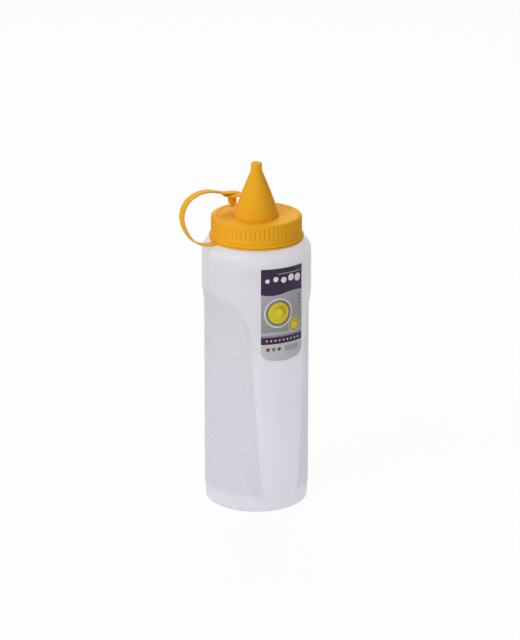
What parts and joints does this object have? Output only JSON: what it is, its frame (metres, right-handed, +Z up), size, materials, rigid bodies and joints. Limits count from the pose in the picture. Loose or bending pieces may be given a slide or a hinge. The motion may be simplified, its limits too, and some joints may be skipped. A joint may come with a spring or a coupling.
{
  "type": "condiment squeeze bottle",
  "caption": "Squeeze bottle with arched side grips, a ribbed screw cap with a cone nozzle, and a looped strap that carries the nozzle's stopper.",
  "frame": {"origin": "middle of the base, on the surface that the bottle stands on", "axes": "+Z up along the bottle's axis; -Y is the front, where the label is; the tether's strap leaves the cap towards -X"},
  "size_m": [0.0887, 0.0711, 0.2291],
  "materials": {
    "bottle_plastic": "natural low-density polyethylene, milky and slightly translucent, satin",
    "cap_plastic": "opaque yellow polypropylene, satin to gloss",
    "label_paper": "printed coated paper, self-adhesive"
  },
  "bodies": {
    "bottle": {"bottle": "bottle_plastic", "front_label": "label_paper"},
    "tether": {"tether_ring": "cap_plastic"},
    "cap": {"screw_cap": "cap_plastic", "nozzle": "cap_plastic"},
    "strap_root": {"strap_root": "cap_plastic"},
    "strap_outer": {"strap_outer": "cap_plastic"},
    "strap_top": {"strap_top": "cap_plastic"},
    "strap_upper": {"strap_upper": "cap_plastic"},
    "strap_end": {"strap_end": "cap_plastic"},
    "stopper": {"stopper": "cap_plastic"}
  },
  "joints": [
    {"name": "cap_lift", "type": "slide", "parent": "bottle", "child": "tether", "axis": [0, 0, 1], "range_m": [0, 0.006]},
    {"name": "cap_turn", "type": "hinge", "parent": "tether", "child": "cap", "pos_m": [0, 0, 0.18], "axis": [0, 0, 1], "range_deg": [0, 540]},
    {"name": "strap_flex", "type": "hinge", "parent": "tether", "child": "strap_root", "pos_m": [-0.03599, 0, 0.17945], "axis": [0.025, 0.9829, 0.1823], "range_deg": [0, 68.02], "stiffness_Nm_per_rad": 0.004},
    {"name": "strap_outer_bend", "type": "hinge", "parent": "strap_root", "child": "strap_outer", "pos_m": [-0.04939, 0.00165, 0.18734], "axis": [-0.0679, -0.7611, 0.6451], "range_deg": [0, 47.63]},
    {"name": "strap_top_bend", "type": "hinge", "parent": "strap_outer", "child": "strap_top", "pos_m": [-0.05094, 0.0049, 0.20411], "axis": [0.1758, -0.98, 0.0933], "range_deg": [0, 68.05]},
    {"name": "strap_upper_bend", "type": "hinge", "parent": "strap_top", "child": "strap_upper", "pos_m": [-0.03604, 0.00878, 0.212], "axis": [-0.5335, -0.8267, -0.179], "range_deg": [0, 38.87]},
    {"name": "strap_end_bend", "type": "hinge", "parent": "strap_upper", "child": "strap_end", "pos_m": [-0.01912, 0.01341, 0.20857], "axis": [-0.5043, 0.86, 0.078], "range_deg": [0, 72.17]},
    {"name": "stopper_press", "type": "slide", "parent": "strap_end", "child": "stopper", "axis": [0, 0, -1], "range_m": [0, 0.0023], "stiffness_N_per_m": 100}
  ],
  "couplings": [
    {"joint": "cap_lift", "follows": "cap_turn", "m_per_rad": 0.00063662},
    {"joint": "strap_outer_bend", "follows": "strap_flex", "ratio": 0.70006},
    {"joint": "strap_top_bend", "follows": "strap_flex", "ratio": 1.0002},
    {"joint": "strap_upper_bend", "follows": "strap_flex", "ratio": 0.5712},
    {"joint": "strap_end_bend", "follows": "strap_flex", "ratio": 1.0608}
  ]
}
